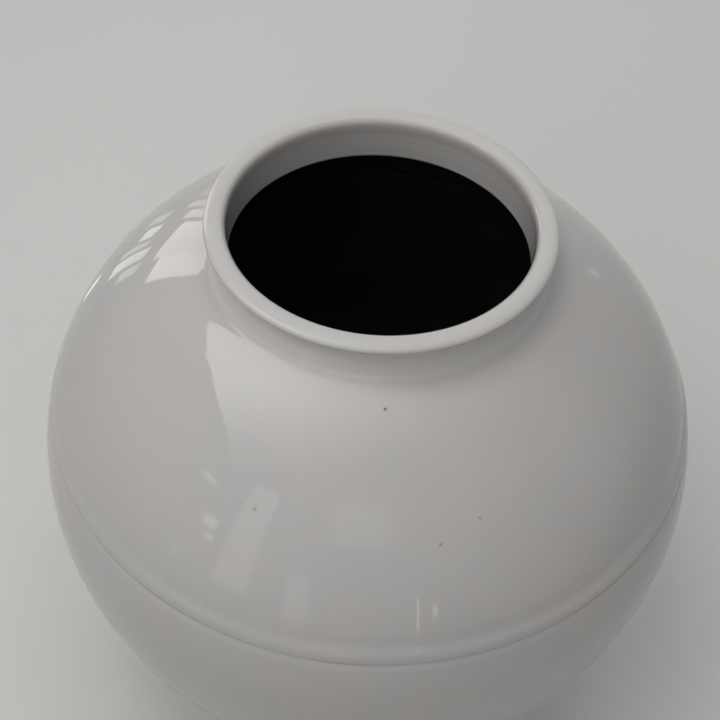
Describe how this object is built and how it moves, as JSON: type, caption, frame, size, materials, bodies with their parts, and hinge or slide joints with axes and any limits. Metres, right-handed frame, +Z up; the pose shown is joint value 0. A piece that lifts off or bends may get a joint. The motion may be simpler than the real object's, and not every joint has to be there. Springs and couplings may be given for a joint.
{
  "type": "moon jar",
  "caption": "Near-spherical white porcelain jar luted from two thrown bowls, with a short neck, rolled lip, soft belly band and low foot ring, for storage or display.",
  "frame": {"origin": "on the table, at the middle of the foot ring", "axes": "+Z up along the jar's axis, towards the mouth; X and Y are free, since the jar is round"},
  "size_m": [0.4299, 0.43, 0.4203],
  "materials": {
    "white_glaze": "glossy milky glaze over white porcelain, with faint iron specks",
    "fired_slip": "fired porcelain slip, matt"
  },
  "bodies": {
    "root": {"lower_bowl": "white_glaze", "upper_bowl": "white_glaze", "belly_slip": "white_glaze", "mouth_collar": "white_glaze", "neck_slip": "fired_slip", "foot_ring": "white_glaze", "foot_slip": "fired_slip"}
  },
  "joints": []
}
